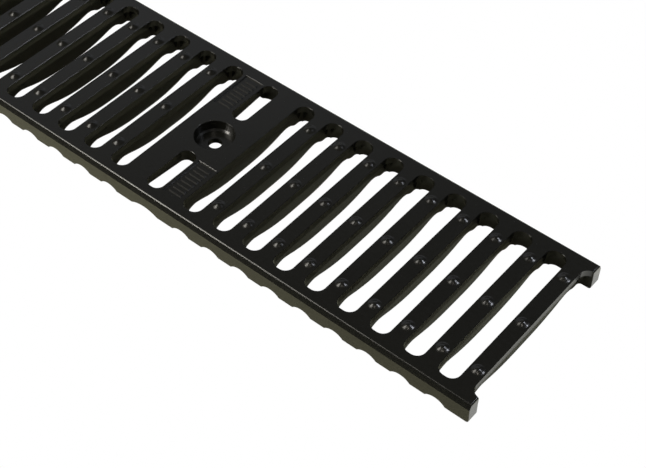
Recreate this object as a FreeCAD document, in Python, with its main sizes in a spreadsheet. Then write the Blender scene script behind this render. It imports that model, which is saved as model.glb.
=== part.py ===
import FreeCAD, Part
import math
import os
import Sketcher

# Slotted cast-iron grate for a half-metre drain channel, made as one casting.
# The ribs' lowest points are at Z = 0, the long side runs along X and the bolt hole is on the Z axis.
# All sizes are millimetres.
sizes = [
    ("bars_each_side", 9, "bars between the middle plate and each end"),
    ("bar_pitch", 24.4, "step from one bar to the next"),
    ("bar_width", 10.7, "width of a bar at the deck"),
    ("plate_width", 48.8, "middle plate, along the grate"),
    ("lug_length", 6, "rail ends past the last bar"),
    ("grate_width", 134, "over the rails"),
    ("rail_width", 8.4, "rail between slot end and outer side"),
    ("grate_height", 18, "deck above the ribs' lowest point"),
    ("seat_height", 2.2, "seat feet above the ribs' lowest point"),
    ("deck_thickness", 4.7, "thickness of the deck before the ribs begin"),
    ("slot_end_flat", 1.8, "straight stretch across the end of every slot"),
    ("rib_step", 1.3, "step in from the deck edge to the rib"),
    ("rib_lean", 1.5, "lean of a rib's side down to its lowest point"),
    ("rail_step", 2.4, "step in from the deck edge to the rail's web"),
    ("side_lean", 0.5, "lean of the rail's outer side down to the seat"),
    ("foot_length", 17, "seat foot, from the outer side inwards"),
    ("ramp_run", 7, "ramp from the seat foot up to the rib's underside"),
    ("belly_flat", 16, "flat in the middle of the rib's underside"),
    ("belly_rise", 6.8, "rise of the rib's curved underside from the flat to the ramps"),
    ("arch_rise", 3.2, "arches between the feet"),
    ("plate_arch_width", 22, "arch under the middle plate"),
    ("edge_run", 1.7, "sloping edge of the rail, across"),
    ("edge_drop", 3.8, "sloping edge of the rail, down from the deck"),
    ("outer_round", 1.2, "rounding between the deck and the sloping edge"),
    ("lug_round", 2.2, "rounding under the rail ends"),
    ("plate_rib", 8, "rib along each side of the middle plate"),
    ("plate_step", 0.3, "step in from the middle plate's edge to its rib"),
    ("recess_diameter", 27, "bolt recess at the deck"),
    ("recess_depth", 7.3, "bolt recess"),
    ("recess_draft", 0.8, "draft of the recess wall down to its floor"),
    ("recess_bevel", 1.2, "bevel between the recess wall and its floor"),
    ("bolt_hole", 9.2, "hole for the locking bolt"),
    ("bolt_seat", 4, "material under the bolt head"),
    ("boss_wall", 4, "boss round the recess at its lower face"),
    ("boss_flare", 9, "flare of the boss up to the deck"),
    ("short_slot_width", 12.2, "slots in the middle plate"),
    ("short_slot_length", 38, "slots in the middle plate"),
    ("panel_border", 2, "deck beside the sunk panels on the middle plate"),
    ("panel_length", 33, "sunk panel on the middle plate"),
    ("panel_depth", 1, "sunk panel"),
    ("ridge_width", 1.8, "grip ridges in the sunk panel"),
    ("ridge_margin", 2.3, "panel floor at both ends of a grip ridge"),
    ("ridge_height", 0.8, "grip ridges above the panel's floor"),
    ("ridge_count", 8, "grip ridges in each sunk panel"),
    ("studs_per_bar", 3, "grip studs on each bar"),
    ("stud_sides", 8, "sides of a grip stud, which is nearly round"),
    ("stud_diameter", 7.6, "grip studs at the deck"),
    ("stud_top", 3.4, "flat top of a grip stud"),
    ("stud_height", 1.5, "grip studs above the deck"),
    ("stud_inset", 14.9, "outer studs from the ends of the slots"),
]

doc = FreeCAD.newDocument("drain_grate")
sheet = doc.addObject("Spreadsheet::Sheet", "sizes")
for row, (alias, number, meaning) in enumerate(sizes, 1):
    sheet.set(f"A{row}", meaning)
    sheet.set(f"B{row}", str(number))
    sheet.setAlias(f"B{row}", alias)
doc.recompute()

# Sizes that follow from the sheet
slot_width = "(sizes.bar_pitch - sizes.bar_width)"
slot_length = "(sizes.grate_width - 2 * sizes.rail_width)"
first_slot = f"(sizes.plate_width / 2 + {slot_width} / 2)"
first_bar = "(sizes.plate_width / 2 + sizes.bar_pitch - sizes.bar_width / 2)"
grate_length = "(sizes.plate_width + 2 * sizes.bars_each_side * sizes.bar_pitch + 2 * sizes.lug_length)"
deck_top = "sizes.grate_height"
deck_underside = "(sizes.grate_height - sizes.deck_thickness)"
gap_half = f"({slot_width} / 2 + sizes.rib_step)"
plate_gap_half = f"({slot_width} / 2 + sizes.plate_step)"
gap_length = f"({slot_length} + 2 * sizes.rail_step)"
recess_floor = "(sizes.grate_height - sizes.recess_depth)"
boss_underside = f"({recess_floor} - sizes.bolt_seat)"
panel_floor = "(sizes.grate_height - sizes.panel_depth)"
short_slot_centre = f"({slot_length} / 2 - sizes.short_slot_length / 2)"
panel_width = "(sizes.plate_width / 2 - sizes.short_slot_width / 2 - 2 * sizes.panel_border)"
panel_centre = f"(sizes.plate_width / 2 - sizes.panel_border - {panel_width} / 2)"
ridge_length = f"({panel_width} - 2 * sizes.ridge_margin)"
ridge_pitch = "(sizes.panel_length / (sizes.ridge_count + 1))"
first_ridge = f"({short_slot_centre} - sizes.panel_length / 2 + {ridge_pitch})"
stud_reach = f"({slot_length} / 2 - sizes.stud_inset)"
stud_step = f"(2 * {stud_reach} / (sizes.studs_per_bar - 1))"
belly_span = "(sizes.grate_width - 2 * sizes.foot_length - 2 * sizes.ramp_run)"

body = doc.addObject("PartDesign::Body", "grate")
body.Label = "grate"
origin = {feature.Role: feature for feature in body.Origin.OriginFeatures}
horizontal_axis, vertical_axis = -1, -2
start, end, centre = 1, 2, 3
hair = 1e-4


def value(expression):
    return float(sheet.evalExpression(expression.replace("sizes.", "")))


def bind(target, **expressions):
    for name, expression in expressions.items():
        target.setExpression(name, expression)


def new_sketch(name, plane, **offset):
    sketch = body.newObject("Sketcher::SketchObject", name)
    sketch.AttachmentSupport = (origin[plane], [""])
    sketch.MapMode = "FlatFace"
    for axis, expression in offset.items():
        sketch.setExpression(f"AttachmentOffset.Base.{axis}", expression)
    return sketch


def line(sketch, first, second):
    return sketch.addGeometry(Part.LineSegment(FreeCAD.Vector(*first, 0), FreeCAD.Vector(*second, 0)))


def arc(sketch, middle, radius, first_angle, last_angle):
    circle = Part.Circle(FreeCAD.Vector(*middle, 0), FreeCAD.Vector(0, 0, 1), radius)
    return sketch.addGeometry(Part.ArcOfCircle(circle, math.radians(first_angle), math.radians(last_angle)))


def constrain(sketch, kind, *where):
    sketch.addConstraint(Sketcher.Constraint(kind, *where))


def dimension(sketch, name, kind, *where, size):
    number = sketch.addConstraint(Sketcher.Constraint(kind, *where, value(size)))
    sketch.renameConstraint(number, name)
    sketch.setExpression(f"Constraints.{name}", size)


def rectangle(sketch, width, length):
    x = value(width) / 2
    y = value(length) / 2
    corners = [(x, y), (-x, y), (-x, -y), (x, -y)]
    sides = [line(sketch, first, second) for first, second in zip(corners, corners[1:] + corners[:1])]
    far, left, near, right = sides
    for side, after in zip(sides, sides[1:] + sides[:1]):
        constrain(sketch, "Coincident", side, end, after, start)
    for side in (far, near):
        constrain(sketch, "Horizontal", side)
    for side in (left, right):
        constrain(sketch, "Vertical", side)
    constrain(sketch, "Symmetric", far, start, near, start, horizontal_axis, start)
    dimension(sketch, "width", "DistanceX", left, start, right, start, size=width)
    dimension(sketch, "length", "DistanceY", near, start, far, start, size=length)


def slot_outline(sketch, width, length):
    corner = f"(({width} - sizes.slot_end_flat) / 2)"
    radius = value(corner)
    x = value(width) / 2 - radius
    y = value(length) / 2 - radius
    middles = [(x, y), (-x, y), (-x, -y), (x, -y)]
    arcs = [arc(sketch, middle, radius, 90 * turn, 90 * turn + 90) for turn, middle in enumerate(middles)]
    following = arcs[1:] + arcs[:1]
    sides = []
    for this, after in zip(arcs, following):
        first, second = sketch.getPoint(this, end), sketch.getPoint(after, start)
        sides.append(line(sketch, (first.x, first.y), (second.x, second.y)))
    for this, side, after in zip(arcs, sides, following):
        constrain(sketch, "Tangent", this, end, side, start)
        constrain(sketch, "Tangent", side, end, after, start)
    far, left, near, right = sides
    for side in (far, near):
        constrain(sketch, "Horizontal", side)
    for side in (left, right):
        constrain(sketch, "Vertical", side)
    for other in arcs[1:]:
        constrain(sketch, "Equal", arcs[0], other)
    constrain(sketch, "Symmetric", arcs[0], centre, arcs[2], centre, horizontal_axis, start)
    dimension(sketch, "corner", "Radius", arcs[0], size=corner)
    dimension(sketch, "width", "DistanceX", left, start, right, start, size=width)
    dimension(sketch, "length", "DistanceY", near, start, far, start, size=length)


def trapezoid(sketch, left_half, right_half, lean, height):
    # Stands on the horizontal axis; both sides lean outwards on the way down from their half widths at the top.
    top, spread = value(height), value(lean)
    left_top, right_top = -value(left_half), value(right_half)
    corners = [(left_top - spread, 0), (right_top + spread, 0), (right_top, top), (left_top, top)]
    sides = [line(sketch, first, second) for first, second in zip(corners, corners[1:] + corners[:1])]
    bottom, right, upper, left = sides
    for side, after in zip(sides, sides[1:] + sides[:1]):
        constrain(sketch, "Coincident", side, end, after, start)
    constrain(sketch, "PointOnObject", bottom, start, horizontal_axis)
    constrain(sketch, "PointOnObject", bottom, end, horizontal_axis)
    constrain(sketch, "Horizontal", upper)
    dimension(sketch, "left_bottom", "DistanceX", bottom, start, horizontal_axis, start, size=f"{left_half} + {lean}")
    dimension(sketch, "right_bottom", "DistanceX", horizontal_axis, start, bottom, end, size=f"{right_half} + {lean}")
    dimension(sketch, "right_top", "DistanceX", horizontal_axis, start, upper, start, size=right_half)
    dimension(sketch, "left_top", "DistanceX", upper, end, horizontal_axis, start, size=left_half)
    dimension(sketch, "height", "DistanceY", bottom, end, right, end, size=height)


def polygon(sketch, side_count, diameter):
    radius = value(diameter) / 2
    turns = [2 * math.pi * number / side_count for number in range(side_count)]
    corners = [(radius * math.cos(turn), radius * math.sin(turn)) for turn in turns]
    sides = [line(sketch, first, second) for first, second in zip(corners, corners[1:] + corners[:1])]
    rim = sketch.addGeometry(Part.Circle(FreeCAD.Vector(0, 0, 0), FreeCAD.Vector(0, 0, 1), radius), True)
    constrain(sketch, "Coincident", rim, centre, horizontal_axis, start)
    constrain(sketch, "PointOnObject", sides[0], start, horizontal_axis)
    for side, after in zip(sides, sides[1:] + sides[:1]):
        constrain(sketch, "Coincident", side, end, after, start)
        constrain(sketch, "PointOnObject", side, start, rim)
    for side in sides[1:]:
        constrain(sketch, "Equal", sides[0], side)
    dimension(sketch, "diameter", "Diameter", rim, size=diameter)


def arch(sketch, width, rise):
    half = value(width) / 2
    radius = f"(({width} / 2)^2 + {rise}^2) / (2 * {rise})"
    spring = math.degrees(math.acos(half / value(radius)))
    base = line(sketch, (-half, 0), (half, 0))
    crown = arc(sketch, (0, value(rise) - value(radius)), value(radius), spring, 180 - spring)
    constrain(sketch, "Coincident", base, end, crown, start)
    constrain(sketch, "Coincident", crown, end, base, start)
    constrain(sketch, "Symmetric", base, start, base, end, vertical_axis)
    constrain(sketch, "PointOnObject", base, start, horizontal_axis)
    dimension(sketch, "width", "DistanceX", base, start, base, end, size=width)
    dimension(sketch, "radius", "Radius", crown, size=radius)


def turned_outline(sketch, corners):
    # Closed outline beside the vertical axis, each corner given as a radius and a height.
    points = [(value(radius), value(height)) for radius, height in corners]
    sides = [line(sketch, first, second) for first, second in zip(points, points[1:] + points[:1])]
    for side, after in zip(sides, sides[1:] + sides[:1]):
        constrain(sketch, "Coincident", side, end, after, start)
    for number, (side, (radius, height)) in enumerate(zip(sides, corners)):
        if radius == "0":
            constrain(sketch, "PointOnObject", side, start, vertical_axis)
        else:
            dimension(sketch, f"radius_{number}", "DistanceX", horizontal_axis, start, side, start, size=radius)
        dimension(sketch, f"height_{number}", "DistanceY", horizontal_axis, start, side, start, size=height)


def pocket(name, sketch, depth=None, symmetric=False, upwards=False):
    cut = body.newObject("PartDesign::Pocket", name)
    cut.Profile = sketch
    cut.Reversed = upwards
    if symmetric:
        cut.SideType = "Symmetric"
    if depth is None:
        cut.Type = "ThroughAll"
    else:
        bind(cut, Length=depth)
    return cut


def turned(kind, name, sketch):
    feature = body.newObject(f"PartDesign::{kind}", name)
    feature.Profile = sketch
    feature.ReferenceAxis = (sketch, ["V_Axis"])
    return feature


def in_a_row(name, axis, step, count):
    row = body.newObject("PartDesign::LinearPattern", name)
    row.Direction = (origin[axis], [""])
    row.Mode = "Spacing"
    bind(row, Offset=step, Occurrences=count)
    return row


def mirrored(name, plane):
    copy = body.newObject("PartDesign::Mirrored", name)
    copy.MirrorPlane = (origin[plane], [""])
    return copy


def half_turn(name):
    copy = body.newObject("PartDesign::PolarPattern", name)
    copy.Axis = (origin["Z_Axis"], [""])
    copy.Angle = 360
    copy.Occurrences = 2
    return copy


def repeat(name, originals, *steps):
    pattern = body.newObject("PartDesign::MultiTransform", name)
    pattern.Originals = originals
    pattern.Transformations = list(steps)
    body.Tip = pattern
    return pattern


def rounded(name, base, radius, chosen):
    doc.recompute()
    edges = [f"Edge{number}" for number, edge in enumerate(base.Shape.Edges, 1) if chosen(edge.BoundBox)]
    fillet = body.newObject("PartDesign::Fillet", name)
    fillet.Base = (base, edges)
    bind(fillet, Radius=radius)
    return fillet


def level(box, height):
    return abs(box.ZMin - value(height)) < hair and abs(box.ZMax - value(height)) < hair


# Cross-section of rails, feet and fish-belly ribs, drawn out over the whole length
section = new_sketch("section", "YZ_Plane")
half_width = value("sizes.grate_width") / 2
half_deck = half_width - value("sizes.edge_run")
half_seat = half_width - value("sizes.side_lean")
half_inner = half_width - value("sizes.foot_length")
half_span = value(belly_span) / 2
half_flat = value("sizes.belly_flat") / 2
top = value(deck_top)
shoulder = top - value("sizes.edge_drop")
seat = value("sizes.seat_height")
rise = value("sizes.belly_rise")
belly_radius = f"((({belly_span} - sizes.belly_flat)^2 / 4 + sizes.belly_rise^2) / (2 * sizes.belly_rise))"
radius = value(belly_radius)
belly_angle = math.degrees(math.asin((half_span - half_flat) / radius))
deck_line = line(section, (-half_deck, top), (half_deck, top))
right_edge = line(section, (half_deck, top), (half_width, shoulder))
right_side = line(section, (half_width, shoulder), (half_seat, seat))
right_foot = line(section, (half_seat, seat), (half_inner, seat))
right_ramp = line(section, (half_inner, seat), (half_span, rise))
right_belly = arc(section, (half_flat, radius), radius, 270, 270 + belly_angle)
flat = line(section, (half_flat, 0), (-half_flat, 0))
left_belly = arc(section, (-half_flat, radius), radius, 270 - belly_angle, 270)
left_ramp = line(section, (-half_span, rise), (-half_inner, seat))
left_foot = line(section, (-half_inner, seat), (-half_seat, seat))
left_side = line(section, (-half_seat, seat), (-half_width, shoulder))
left_edge = line(section, (-half_width, shoulder), (-half_deck, top))
for first, second in (
    ((deck_line, end), (right_edge, start)),
    ((right_edge, end), (right_side, start)),
    ((right_side, end), (right_foot, start)),
    ((right_foot, end), (right_ramp, start)),
    ((right_ramp, end), (right_belly, end)),
    ((left_belly, start), (left_ramp, start)),
    ((left_ramp, end), (left_foot, start)),
    ((left_foot, end), (left_side, start)),
    ((left_side, end), (left_edge, start)),
    ((left_edge, end), (deck_line, start)),
):
    constrain(section, "Coincident", *first, *second)
constrain(section, "Tangent", right_belly, start, flat, start)
constrain(section, "Tangent", flat, end, left_belly, end)
for first, second in (
    ((deck_line, start), (deck_line, end)),
    ((left_edge, start), (right_edge, end)),
    ((left_foot, end), (right_foot, start)),
    ((left_foot, start), (right_foot, end)),
    ((flat, start), (flat, end)),
):
    constrain(section, "Symmetric", *first, *second, vertical_axis)
constrain(section, "PointOnObject", flat, start, horizontal_axis)
constrain(section, "Horizontal", right_foot)
constrain(section, "Equal", right_belly, left_belly)
dimension(section, "deck", "DistanceX", deck_line, start, deck_line, end,
          size="sizes.grate_width - 2 * sizes.edge_run")
dimension(section, "width", "DistanceX", left_edge, start, right_edge, end, size="sizes.grate_width")
dimension(section, "edge", "DistanceY", right_edge, end, right_edge, start, size="sizes.edge_drop")
dimension(section, "height", "DistanceY", horizontal_axis, start, deck_line, end, size=deck_top)
dimension(section, "seat_level", "DistanceY", horizontal_axis, start, right_foot, start, size="sizes.seat_height")
dimension(section, "seat", "DistanceX", left_foot, end, right_foot, start,
          size="sizes.grate_width - 2 * sizes.side_lean")
dimension(section, "inner", "DistanceX", left_foot, start, right_foot, end,
          size="sizes.grate_width - 2 * sizes.foot_length")
dimension(section, "flat", "DistanceX", flat, end, flat, start, size="sizes.belly_flat")
dimension(section, "curve", "Radius", right_belly, size=belly_radius)
dimension(section, "right_end", "DistanceX", horizontal_axis, start, right_belly, end, size=f"{belly_span} / 2")
dimension(section, "left_end", "DistanceX", left_belly, start, horizontal_axis, start, size=f"{belly_span} / 2")

blank = body.newObject("PartDesign::Pad", "blank")
blank.Profile = section
blank.SideType = "Symmetric"
bind(blank, Length=grate_length)
outer_edges = rounded("outer_edges", blank, "sizes.outer_round", lambda box: level(box, deck_top))
lug_ends = rounded("lug_ends", outer_edges, "sizes.lug_round",
                   lambda box: level(box, "sizes.seat_height") and box.XLength < hair)

# Middle plate: hollow underneath between two ribs, with a flared boss for the locking bolt
hollow_shape = new_sketch("hollow_shape", "XY_Plane")
rectangle(hollow_shape, "(sizes.plate_width - 2 * sizes.plate_rib)", gap_length)
hollow = pocket("hollow", hollow_shape, depth=deck_underside, upwards=True)
plate_arch_shape = new_sketch("plate_arch_shape", "XZ_Plane", y="sizes.seat_height")
arch(plate_arch_shape, "sizes.plate_arch_width", "sizes.arch_rise")
plate_arch = pocket("plate_arch", plate_arch_shape, symmetric=True)
boss_radius = "(sizes.recess_diameter / 2 + sizes.boss_wall)"
boss_shape = new_sketch("boss_shape", "XZ_Plane")
turned_outline(boss_shape, [
    ("0", boss_underside),
    (boss_radius, boss_underside),
    (f"{boss_radius} + sizes.boss_flare", deck_underside),
    ("0", deck_underside),
])
boss = turned("Revolution", "boss", boss_shape)
recess_foot = "(sizes.recess_diameter / 2 - sizes.recess_draft)"
bolt_shape = new_sketch("bolt_shape", "XZ_Plane")
turned_outline(bolt_shape, [
    ("0", deck_top),
    ("sizes.recess_diameter / 2", deck_top),
    (recess_foot, f"{recess_floor} + sizes.recess_bevel"),
    (f"{recess_foot} - sizes.recess_bevel", recess_floor),
    ("sizes.bolt_hole / 2", recess_floor),
    ("sizes.bolt_hole / 2", boss_underside),
    ("0", boss_underside),
])
bolt = turned("Groove", "bolt", bolt_shape)
short_slot_shape = new_sketch("short_slot_shape", "XY_Plane", y=short_slot_centre, z=deck_top)
slot_outline(short_slot_shape, "sizes.short_slot_width", "sizes.short_slot_length")
short_slot = pocket("short_slot", short_slot_shape)
short_slots = repeat("short_slots", [short_slot], mirrored("short_slot_pair", "XZ_Plane"))

# Two sunk panels with grip ridges, one on each side of the bolt
panel_shape = new_sketch("panel_shape", "XY_Plane", x=f"-{panel_centre}", y=short_slot_centre, z=deck_top)
rectangle(panel_shape, panel_width, "sizes.panel_length")
panel = pocket("panel", panel_shape, depth="sizes.panel_depth")
panels = repeat("panels", [panel], half_turn("panel_pair"))
ridge_shape = new_sketch("ridge_shape", "XY_Plane", x=f"-{panel_centre}", y=first_ridge, z=panel_floor)
rectangle(ridge_shape, ridge_length, "sizes.ridge_width")
ridge = body.newObject("PartDesign::Pad", "ridge")
ridge.Profile = ridge_shape
bind(ridge, Length="sizes.ridge_height")
ridges = repeat("ridges", [ridge], in_a_row("ridge_row", "Y_Axis", ridge_pitch, "sizes.ridge_count"),
                half_turn("ridge_pair"))

# Slots between the bars, narrow in the deck and wider between the ribs below
slot_shape = new_sketch("slot_shape", "XY_Plane", x=first_slot, z=deck_top)
slot_outline(slot_shape, slot_width, slot_length)
deck_slot = pocket("deck_slot", slot_shape, depth="sizes.deck_thickness")
slots = repeat("slots", [deck_slot],
               in_a_row("slot_row", "X_Axis", "sizes.bar_pitch", "sizes.bars_each_side + 1"),
               mirrored("slot_halves", "YZ_Plane"))
plate_gap_shape = new_sketch("plate_gap_shape", "XZ_Plane", x=first_slot)
trapezoid(plate_gap_shape, plate_gap_half, gap_half, "sizes.rib_lean", deck_underside)
plate_gap = pocket("plate_gap", plate_gap_shape, depth=gap_length, symmetric=True)
plate_gaps = repeat("plate_gaps", [plate_gap], mirrored("plate_gap_pair", "YZ_Plane"))
gap_shape = new_sketch("gap_shape", "XZ_Plane", x=f"{first_slot} + sizes.bar_pitch")
trapezoid(gap_shape, gap_half, gap_half, "sizes.rib_lean", deck_underside)
gap = pocket("gap", gap_shape, depth=gap_length, symmetric=True)
gaps = repeat("gaps", [gap],
              in_a_row("gap_row", "X_Axis", "sizes.bar_pitch", "sizes.bars_each_side"),
              mirrored("gap_halves", "YZ_Plane"))

# Arches along the rails' lower edges, one under each slot
arch_shape = new_sketch("arch_shape", "XZ_Plane", x=first_slot, y="sizes.seat_height")
arch(arch_shape, slot_width, "sizes.arch_rise")
slot_arch = pocket("slot_arch", arch_shape, symmetric=True)
arches = repeat("arches", [slot_arch],
                in_a_row("arch_row", "X_Axis", "sizes.bar_pitch", "sizes.bars_each_side"),
                mirrored("arch_halves", "YZ_Plane"))

# Grip studs, in rows across the bars
stud_shape = new_sketch("stud_shape", "XY_Plane", x=first_bar, y=f"-{stud_reach}", z=deck_top)
polygon(stud_shape, int(value("sizes.stud_sides")), "sizes.stud_diameter")
stud = body.newObject("PartDesign::Pad", "stud")
stud.Profile = stud_shape
bind(stud, Length="sizes.stud_height",
     TaperAngle="-atan((sizes.stud_diameter - sizes.stud_top) / (2 * sizes.stud_height))")
studs = repeat("studs", [stud], in_a_row("stud_row", "X_Axis", "sizes.bar_pitch", "sizes.bars_each_side"),
               in_a_row("stud_line", "Y_Axis", stud_step, "sizes.studs_per_bar"),
               mirrored("stud_halves", "YZ_Plane"))

doc.recompute()
for feature in doc.Objects:
    if {"Invalid", "Error"} & set(feature.State):
        raise RuntimeError(f"{feature.Label} failed: {feature.State}")
if body.Shape.isNull() or not body.Shape.isValid() or len(body.Shape.Solids) != 1:
    raise RuntimeError("the grate is not one valid solid")
os.makedirs("parts", exist_ok=True)
body.Shape.exportStep("parts/grate.step")
print("grate", round(body.Shape.Volume), "mm3")
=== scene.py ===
import bpy
import bmesh
import math
from mathutils import Matrix, Vector


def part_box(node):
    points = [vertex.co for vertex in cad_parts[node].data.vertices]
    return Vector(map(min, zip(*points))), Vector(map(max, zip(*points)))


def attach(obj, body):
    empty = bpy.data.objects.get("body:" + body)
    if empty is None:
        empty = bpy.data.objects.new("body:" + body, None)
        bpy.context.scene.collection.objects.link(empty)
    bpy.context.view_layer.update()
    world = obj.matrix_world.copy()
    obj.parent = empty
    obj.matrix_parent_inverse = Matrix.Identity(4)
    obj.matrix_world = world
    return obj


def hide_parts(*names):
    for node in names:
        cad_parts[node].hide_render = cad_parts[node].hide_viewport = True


# Slotted cast-iron drain grate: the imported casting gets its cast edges, domed studs and black dip coat
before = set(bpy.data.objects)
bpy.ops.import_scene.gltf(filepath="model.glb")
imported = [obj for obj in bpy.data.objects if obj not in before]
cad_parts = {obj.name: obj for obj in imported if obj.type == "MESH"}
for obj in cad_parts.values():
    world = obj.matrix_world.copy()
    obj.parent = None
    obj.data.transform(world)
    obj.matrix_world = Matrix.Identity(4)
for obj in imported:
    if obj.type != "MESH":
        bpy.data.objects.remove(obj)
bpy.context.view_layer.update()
mm = 0.001
scene = bpy.context.scene
print("frame loaded:", sorted(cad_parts))


def linear(hexCode):
    channels = [int(hexCode[i:i + 2], 16) / 255 for i in (1, 3, 5)]
    return [c / 12.92 if c <= 0.04045 else ((c + 0.055) / 1.055) ** 2.4 for c in channels] + [1.0]


def addNode(tree, kind, settings=None, values=None, links=None):
    node = tree.nodes.new(kind)
    for name, setting in (settings or {}).items():
        setattr(node, name, setting)
    for socket, number in (values or {}).items():
        node.inputs[socket].default_value = number
    for socket, source in (links or {}).items():
        tree.links.new(source, node.inputs[socket])
    return node


# Materials

coat = {
    "colour": "#0f0f0c",  # black with a trace of olive
    "paleColour": "#151511",
    "roughness": (0.20, 0.30),
    "ior": 1.5,
    "patch": 38 * mm,  # thicker and thinner coat
    "patchDetail": 4.0,
    "peel": 2.6 * mm,  # slow waviness where the coat ran together
    "peelDetail": 2.0,
    "peelDepth": 0.1 * mm,
    "peelStrength": 0.12,
    "grain": 0.45 * mm,  # sand grain of the mould, seen through the coat
    "grainDetail": 2.0,
    "grainDepth": 0.05 * mm,
    "grainStrength": 0.35,
}


def coatedIron():
    # Black bitumen dip coat on sand-cast iron: satin, nearly black, fine grain that breaks up every highlight
    material = bpy.data.materials.new("coated_cast_iron")
    material.use_nodes = True
    tree = material.node_tree
    shader = tree.nodes["Principled BSDF"]
    place = addNode(tree, "ShaderNodeTexCoord").outputs["Object"]
    noise = {}
    for name in ("patch", "grain", "peel"):
        values = {"Scale": 1 / coat[name], "Detail": coat[name + "Detail"]}
        cloud = addNode(tree, "ShaderNodeTexNoise", values=values, links={"Vector": place})
        noise[name] = cloud.outputs["Fac"]
    tone = addNode(tree, "ShaderNodeMix", {"data_type": "RGBA"}, links={"Factor": noise["patch"]})
    tone.inputs["A"].default_value = linear(coat["colour"])
    tone.inputs["B"].default_value = linear(coat["paleColour"])
    gloss = addNode(tree, "ShaderNodeMapRange",
                    values={"To Min": coat["roughness"][0], "To Max": coat["roughness"][1]},
                    links={"Value": noise["peel"]})
    slow = addNode(tree, "ShaderNodeBump",
                   values={"Strength": coat["peelStrength"], "Distance": coat["peelDepth"]},
                   links={"Height": noise["peel"]})
    fine = addNode(tree, "ShaderNodeBump",
                   values={"Strength": coat["grainStrength"], "Distance": coat["grainDepth"]},
                   links={"Height": noise["grain"], "Normal": slow.outputs["Normal"]})
    tree.links.new(tone.outputs["Result"], shader.inputs["Base Color"])
    tree.links.new(gloss.outputs["Result"], shader.inputs["Roughness"])
    tree.links.new(fine.outputs["Normal"], shader.inputs["Normal"])
    shader.inputs["IOR"].default_value = coat["ior"]
    return material


iron = coatedIron()
print("material ready:", iron.name)


# The casting

casting = {
    "deck": 18 * mm,
    "underDeck": 13.31 * mm,  # just above the deck's underside
    "weld": 0.002 * mm,
    "same": 0.01 * mm,  # places closer than this are one place
    "flatAngle": math.radians(1),
    "sharpAngle": math.radians(20),
    "studFoot": 0.1 * mm,  # faces higher above the deck belong to the plain studs
    "rimRound": 0.25 * mm,
    "rimSteps": 3,
    "footRound": 0.4 * mm,  # lower edge of the rail's outer side
    "footSteps": 2,
    "footHeight": 7 * mm,  # feet, arches and hollows lie below this
    "sideLean": 1.5 * mm,  # the rail's outer side lies within this of the box
    "lugEnd": 9 * mm,  # nearer the ends, edges stay as they are
    "alongRail": 0.1 * mm,  # edges that run along the rail span more than this
    # places across the grate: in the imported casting, and in the finished one
    "wall": (61 * mm, 58.8 * mm),  # rail's inner wall
    "footCorner": (50 * mm, 52.5 * mm),
    "hollow": (43 * mm, 45.6 * mm),  # where the rib's belly meets the foot
    "footCornerRound": 1.8 * mm,
    "footCornerSteps": 3,
    "hollowRound": 4 * mm,
    "hollowSteps": 5,
    "webRound": 2.4 * mm,  # upright hollow corner between rib and rail
    "webSteps": 4,
    "webHeight": 3 * mm,
    "webAngle": math.radians(60),
}


def roundEdges(work, edges, name):
    bmesh.ops.bevel(work, geom=edges, offset=casting[name + "Round"], offset_type="OFFSET",
                    segments=casting[name + "Steps"], profile=0.5, affect="EDGES", clamp_overlap=False)


def atPlace(edge, place):
    return all(abs(abs(vert.co.y) - place) < casting["same"] for vert in edge.verts)


def climb(edge):
    return abs(edge.verts[0].co.z - edge.verts[1].co.z)


def softFeet(work):
    # The feet run into the rail with soft sand-cast corners
    for vert in work.verts:
        if vert.co.z < casting["underDeck"]:
            for old, new in (casting["wall"], casting["footCorner"], casting["hollow"]):
                if abs(abs(vert.co.y) - old) < casting["same"]:
                    vert.co.y = math.copysign(new, vert.co.y)
    for name in ("hollow", "footCorner"):
        corners = [edge for edge in work.edges
                   if atPlace(edge, casting[name][1]) and climb(edge) < casting["same"]
                   and all(vert.co.z < casting["footHeight"] for vert in edge.verts)]
        roundEdges(work, corners, name)
    webs = [edge for edge in work.edges
            if atPlace(edge, casting["wall"][1]) and climb(edge) > casting["webHeight"]
            and edge.is_manifold and not edge.is_convex and edge.calc_face_angle(0) > casting["webAngle"]]
    roundEdges(work, webs, "web")
    bmesh.ops.remove_doubles(work, verts=work.verts, dist=casting["same"])


def castEdges(work):
    # A fine round on the deck's rims and on the rail's lower edge
    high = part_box("grate")[1]
    reach = high.x - casting["lugEnd"]
    side = high.y - casting["sideLean"]
    sharp = [edge for edge in work.edges
             if edge.is_manifold and edge.calc_face_angle(0) > casting["sharpAngle"]
             and all(abs(vert.co.x) < reach for vert in edge.verts)]
    rims = [edge for edge in sharp
            if all(abs(vert.co.z - casting["deck"]) < casting["same"] for vert in edge.verts)]
    feet = [edge for edge in sharp
            if all(vert.co.z < casting["footHeight"] and abs(vert.co.y) > side for vert in edge.verts)
            and abs(edge.verts[0].co.x - edge.verts[1].co.x) > casting["alongRail"]]
    roundEdges(work, rims, "rim")
    roundEdges(work, [edge for edge in feet if edge.is_valid], "foot")


def ironPiece(work, name):
    for face in work.faces:
        face.smooth = True
    for edge in work.edges:
        edge.smooth = edge.calc_face_angle(0) < casting["sharpAngle"]
    mesh = bpy.data.meshes.new(name)
    work.to_mesh(mesh)
    work.free()
    mesh.materials.append(iron)
    piece = bpy.data.objects.new(name, mesh)
    scene.collection.objects.link(piece)
    return piece


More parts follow.
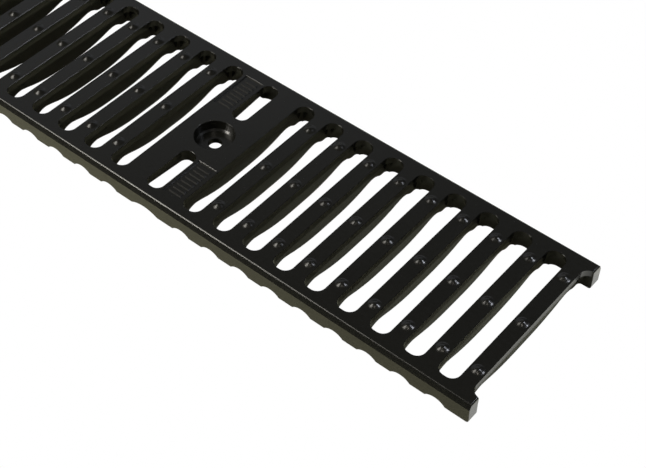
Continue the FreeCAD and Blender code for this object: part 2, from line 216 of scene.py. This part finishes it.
def castGrate():
    work = bmesh.new()
    work.from_mesh(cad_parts["grate"].data)
    bmesh.ops.remove_doubles(work, verts=work.verts, dist=casting["weld"])
    studHeight = casting["deck"] + casting["studFoot"]
    plainStuds = [face for face in work.faces if face.calc_center_median().z > studHeight]
    bmesh.ops.delete(work, geom=plainStuds, context="FACES")
    bmesh.ops.holes_fill(work, edges=[edge for edge in work.edges if edge.is_boundary])
    bmesh.ops.dissolve_limit(work, angle_limit=casting["flatAngle"], verts=work.verts, edges=work.edges)
    softFeet(work)
    castEdges(work)
    piece = ironPiece(work, "cast_grate")
    flats = piece.modifiers.new("flat_faces", "WEIGHTED_NORMAL")  # flats shade flat, rounds take the curve
    flats.keep_sharp = True
    return piece


grate = castGrate()
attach(grate, "root")
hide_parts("grate")
print("casting ready:", len(grate.data.polygons), "faces")


# Collars under the short slots

collars = {
    "width": 12.2 * mm,
    "length": 38 * mm,
    "middle": 39.6 * mm,  # from the grate's middle to the slot's
    "cornerRound": 5.2 * mm,
    "cornerSteps": 8,
    "wall": 2.5 * mm,
    "inset": 0.02 * mm,  # keeps the collar's wall just behind the slot's
    "top": 14 * mm,  # inside the plate
    "innerEnd": 9.5 * mm,  # lower edge towards the bolt
    "railEnd": 12.9 * mm,
}


def slotRing(reach):
    # One slot's outline, pushed outwards by reach
    points = []
    across = collars["width"] / 2 - collars["cornerRound"]
    along = collars["length"] / 2 - collars["cornerRound"]
    radius = collars["cornerRound"] + reach
    middles = ((across, along), (-across, along), (-across, -along), (across, -along))
    for quarter, (x, y) in enumerate(middles):
        for step in range(collars["cornerSteps"] + 1):
            angle = math.radians(90) * (quarter + step / collars["cornerSteps"])
            points.append((x + radius * math.cos(angle), y + radius * math.sin(angle)))
    return points


def slotCollars():
    # The plate is thicker round its two short slots, most of all towards the bolt
    work = bmesh.new()
    slope = (collars["railEnd"] - collars["innerEnd"]) / collars["length"]
    for side in (1, -1):
        rings = []
        for reach in (collars["inset"], collars["wall"]):
            outline = slotRing(reach)
            lows = [collars["innerEnd"] + slope * (y + collars["length"] / 2) for x, y in outline]
            places = [(x, side * (y + collars["middle"])) for x, y in outline]
            rings.append([work.verts.new((x, y, collars["top"])) for x, y in places])
            rings.append([work.verts.new((x, y, low)) for (x, y), low in zip(places, lows)])
        topIn, lowIn, topOut, lowOut = rings
        for first, second in ((topIn, lowIn), (lowIn, lowOut), (lowOut, topOut), (topOut, topIn)):
            for i in range(len(first)):
                j = (i + 1) % len(first)
                work.faces.new((first[i], first[j], second[j], second[i]))
    bmesh.ops.recalc_face_normals(work, faces=work.faces)
    return ironPiece(work, "slot_collars")


collarPiece = slotCollars()
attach(collarPiece, "root")
print("collars ready:", len(collarPiece.data.polygons), "faces")


# Grip studs

studs = {
    "barPitch": 24.4 * mm,
    "firstBar": 43.45 * mm,
    "barsEachSide": 9,
    "rowReach": 43.7 * mm,
    "rows": 3,
    "radius": 4.9 * mm,  # out to where the flared foot has run into the deck
    "height": 1.5 * mm,
    "sunk": 0.06 * mm,  # the foot's edge, below the deck
    "segments": 24,
    "rings": 24,
    "waist": -0.001,  # on a ball of radius 1, just under its widest ring
}


def studTree():
    tree = bpy.data.node_groups.new("grip_studs", "GeometryNodeTree")
    sockets = [("Bar Pitch", "NodeSocketFloat"), ("First Bar", "NodeSocketFloat"), ("Bars", "NodeSocketInt"),
               ("Row Reach", "NodeSocketFloat"), ("Rows", "NodeSocketInt"), ("Radius", "NodeSocketFloat"),
               ("Height", "NodeSocketFloat"), ("Sunk", "NodeSocketFloat"), ("Deck", "NodeSocketFloat")]
    for name, kind in sockets:
        tree.interface.new_socket(name, in_out="INPUT", socket_type=kind)
    tree.interface.new_socket("Geometry", in_out="OUTPUT", socket_type="NodeSocketGeometry")
    given = addNode(tree, "NodeGroupInput").outputs

    # a grid of points for one half of the grate, then the same for the other half
    steps = addNode(tree, "ShaderNodeMath", {"operation": "SUBTRACT"}, {1: 1.0}, {0: given["Bars"]})
    run = addNode(tree, "ShaderNodeMath", {"operation": "MULTIPLY"},
                  links={0: steps.outputs[0], 1: given["Bar Pitch"]})
    across = addNode(tree, "ShaderNodeMath", {"operation": "MULTIPLY"}, {1: 2.0}, {0: given["Row Reach"]})
    grid = addNode(tree, "GeometryNodeMeshGrid", links={
        "Size X": run.outputs[0], "Size Y": across.outputs[0],
        "Vertices X": given["Bars"], "Vertices Y": given["Rows"]})
    middle = addNode(tree, "ShaderNodeMath", {"operation": "MULTIPLY_ADD"}, {1: 0.5},
                     {0: run.outputs[0], 2: given["First Bar"]})
    foot = addNode(tree, "ShaderNodeMath", {"operation": "SUBTRACT"},
                   links={0: given["Deck"], 1: given["Sunk"]})
    halves = addNode(tree, "GeometryNodeJoinGeometry")
    for sign in (1.0, -1.0):
        along = addNode(tree, "ShaderNodeMath", {"operation": "MULTIPLY"}, {1: sign}, {0: middle.outputs[0]})
        place = addNode(tree, "ShaderNodeCombineXYZ", links={"X": along.outputs[0], "Z": foot.outputs[0]})
        half = addNode(tree, "GeometryNodeTransform", links={
            "Geometry": grid.outputs["Mesh"], "Translation": place.outputs[0]})
        tree.links.new(half.outputs["Geometry"], halves.inputs["Geometry"])

    # a ball whose upper half becomes a bell: round on top, with a foot that flares into the deck
    ball = addNode(tree, "GeometryNodeMeshUVSphere", values={
        "Segments": studs["segments"], "Rings": studs["rings"], "Radius": 1.0})
    position = addNode(tree, "GeometryNodeInputPosition").outputs[0]
    spot = addNode(tree, "ShaderNodeSeparateXYZ", links={0: position}).outputs
    flat = addNode(tree, "ShaderNodeCombineXYZ", links={"X": spot["X"], "Y": spot["Y"]})
    out = addNode(tree, "ShaderNodeVectorMath", {"operation": "LENGTH"}, links={0: flat.outputs[0]})
    turn = addNode(tree, "ShaderNodeMath", {"operation": "MULTIPLY"}, {1: math.pi}, {0: out.outputs["Value"]})
    wave = addNode(tree, "ShaderNodeMath", {"operation": "COSINE"}, links={0: turn.outputs[0]})
    rise = addNode(tree, "ShaderNodeMath", {"operation": "MULTIPLY_ADD"}, {1: 0.5, 2: 0.5},
                   {0: wave.outputs[0]})
    bellSpot = addNode(tree, "ShaderNodeCombineXYZ", links={
        "X": spot["X"], "Y": spot["Y"], "Z": rise.outputs[0]})
    upper = addNode(tree, "ShaderNodeMath", {"operation": "GREATER_THAN"}, {1: studs["waist"]},
                    {0: spot["Z"]})
    bell = addNode(tree, "GeometryNodeSetPosition", links={
        "Geometry": ball.outputs["Mesh"], "Selection": upper.outputs[0], "Position": bellSpot.outputs[0]})

    tall = addNode(tree, "ShaderNodeMath", {"operation": "ADD"}, links={0: given["Height"], 1: given["Sunk"]})
    size = addNode(tree, "ShaderNodeCombineXYZ", links={
        "X": given["Radius"], "Y": given["Radius"], "Z": tall.outputs[0]})
    domes = addNode(tree, "GeometryNodeInstanceOnPoints", links={
        "Points": halves.outputs[0], "Instance": bell.outputs[0], "Scale": size.outputs[0]})
    real = addNode(tree, "GeometryNodeRealizeInstances", links={"Geometry": domes.outputs[0]})
    smooth = addNode(tree, "GeometryNodeSetShadeSmooth", links={"Geometry": real.outputs[0]})
    coated = addNode(tree, "GeometryNodeSetMaterial", {}, {"Material": iron}, {"Geometry": smooth.outputs[0]})
    addNode(tree, "NodeGroupOutput", links={"Geometry": coated.outputs[0]})
    return tree


def gripStuds():
    carrier = bpy.data.objects.new("stud_carrier", bpy.data.meshes.new("stud_carrier"))
    scene.collection.objects.link(carrier)
    modifier = carrier.modifiers.new("studs", "NODES")
    tree = studTree()
    modifier.node_group = tree
    sizes = {"Bar Pitch": studs["barPitch"], "First Bar": studs["firstBar"], "Bars": studs["barsEachSide"],
             "Row Reach": studs["rowReach"], "Rows": studs["rows"], "Radius": studs["radius"],
             "Height": studs["height"], "Sunk": studs["sunk"], "Deck": casting["deck"]}
    for item in tree.interface.items_tree:
        if item.in_out == "INPUT":
            modifier[item.identifier] = sizes[item.name]
    mesh = bpy.data.meshes.new_from_object(carrier.evaluated_get(bpy.context.evaluated_depsgraph_get()))
    bpy.data.objects.remove(carrier)
    mesh.name = "grip_studs"
    piece = bpy.data.objects.new("grip_studs", mesh)
    scene.collection.objects.link(piece)
    return piece


gripPiece = gripStuds()
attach(gripPiece, "root")
print("studs ready:", len(gripPiece.data.polygons), "faces")


# Floor, lights and camera

floorLook = {
    "card": "#ffffff",  # what the camera sees
    "cardLow": (-3.0, -3.0),
    "cardHigh": (3.0, 3.0),
    "cardDrop": 0.2 * mm,
    "table": "#d1d2b6",  # what lights the part from below
    "tableRoughness": 0.9,
    "tableLow": (-1.2, -0.112),  # its near edge is close: the rail's sloping edge looks past it into the dark
    "tableHigh": (0.5, 1.2),
    "tableDrop": 0.4 * mm,
}


def floorPlane(name, low, high, drop):
    mesh = bpy.data.meshes.new(name)
    corners = [(low[0], low[1]), (high[0], low[1]), (high[0], high[1]), (low[0], high[1])]
    mesh.from_pydata([(x, y, -drop) for x, y in corners], [], [(0, 1, 2, 3)])
    material = bpy.data.materials.new(name)
    material.use_nodes = True
    mesh.materials.append(material)
    floor = bpy.data.objects.new(name, mesh)
    scene.collection.objects.link(floor)
    return floor, material.node_tree.nodes["Principled BSDF"]


def paleFloor():
    # A white card for the camera alone, and the warm pale table under it that bounces the light
    card, paint = floorPlane("white_card", floorLook["cardLow"], floorLook["cardHigh"], floorLook["cardDrop"])
    paint.inputs["Base Color"].default_value = linear("#000000")
    paint.inputs["Specular IOR Level"].default_value = 0.0
    paint.inputs["Emission Color"].default_value = linear(floorLook["card"])
    paint.inputs["Emission Strength"].default_value = 1.0
    card.visible_diffuse = card.visible_glossy = card.visible_transmission = card.visible_shadow = False
    table, paint = floorPlane(
        "pale_table", floorLook["tableLow"], floorLook["tableHigh"], floorLook["tableDrop"])
    paint.inputs["Base Color"].default_value = linear(floorLook["table"])
    paint.inputs["Roughness"].default_value = floorLook["tableRoughness"]
    table.visible_camera = False


lamps = [
    # name, place from the grate's middle, point it faces, width, length, power, colour
    ("strip_near_1", (0.36, -0.34, 1.0), (0, 0, 0), 0.03, 0.10, 0.65, "#fff6e8"),
    ("strip_near_2", (0.44, -0.27, 1.0), (0, 0, 0), 0.03, 0.10, 0.65, "#fff6e8"),
    ("box_left", (-0.85, -0.62, 1.2), (0, 0, 0), 0.7, 1.0, 17, "#fffaf0"),
    ("low_left", (-0.60, -0.90, 0.60), (0, 0, 0), 0.2, 0.3, 6.0, "#fffaf0"),
    ("box_right", (0.46, 0.41, 0.64), (0.2, 0, 0), 0.09, 0.12, 1.5, "#f0f4ff"),
    ("end_glow", (0.267, 0, -0.0003), (0.267, 0, 1), 0.035, 0.16, 0.016, "#ffffff"),
    ("back_panel", (-1.25, 1.45, 0.98), (0, 0, 0), 2.4, 1.4, 3.2, "#f0f4ff"),
]
room = {"colour": "#ffffff", "strength": 0.07}


def studioLights():
    for name, place, aim, width, length, power, colour in lamps:
        light = bpy.data.lights.new(name, "AREA")
        light.shape = "RECTANGLE"
        light.size = width
        light.size_y = length
        light.energy = power
        light.color = linear(colour)[:3]
        lamp = bpy.data.objects.new(name, light)
        lamp.location = place
        lamp.rotation_euler = (Vector(aim) - Vector(place)).to_track_quat("-Z", "Y").to_euler()
        scene.collection.objects.link(lamp)
    world = bpy.data.worlds.new("studio")
    world.use_nodes = True
    glow = world.node_tree.nodes["Background"]
    glow.inputs["Color"].default_value = linear(room["colour"])
    glow.inputs["Strength"].default_value = room["strength"]
    scene.world = world


view = {
    "place": (468.16 * mm, -464.13 * mm, 656.33 * mm),
    "target": (107.80 * mm, -20.85 * mm, 18 * mm),
    "roll": math.radians(0.66),
    "lens": 79.07,
    "sensor": 36.0,
    "nearest": 10 * mm,
}


def photoCamera():
    data = bpy.data.cameras.new("camera")
    data.lens = view["lens"]
    data.sensor_fit = "HORIZONTAL"
    data.sensor_width = view["sensor"]
    data.clip_start = view["nearest"]
    camera = bpy.data.objects.new("camera", data)
    place = Vector(view["place"])
    turn = (Vector(view["target"]) - place).to_track_quat("-Z", "Y").to_matrix().to_4x4()
    camera.matrix_world = Matrix.Translation(place) @ turn @ Matrix.Rotation(view["roll"], 4, "Z")
    scene.collection.objects.link(camera)
    scene.camera = camera


paleFloor()
studioLights()
photoCamera()
scene.view_settings.view_transform = "Standard"
print("stage ready")
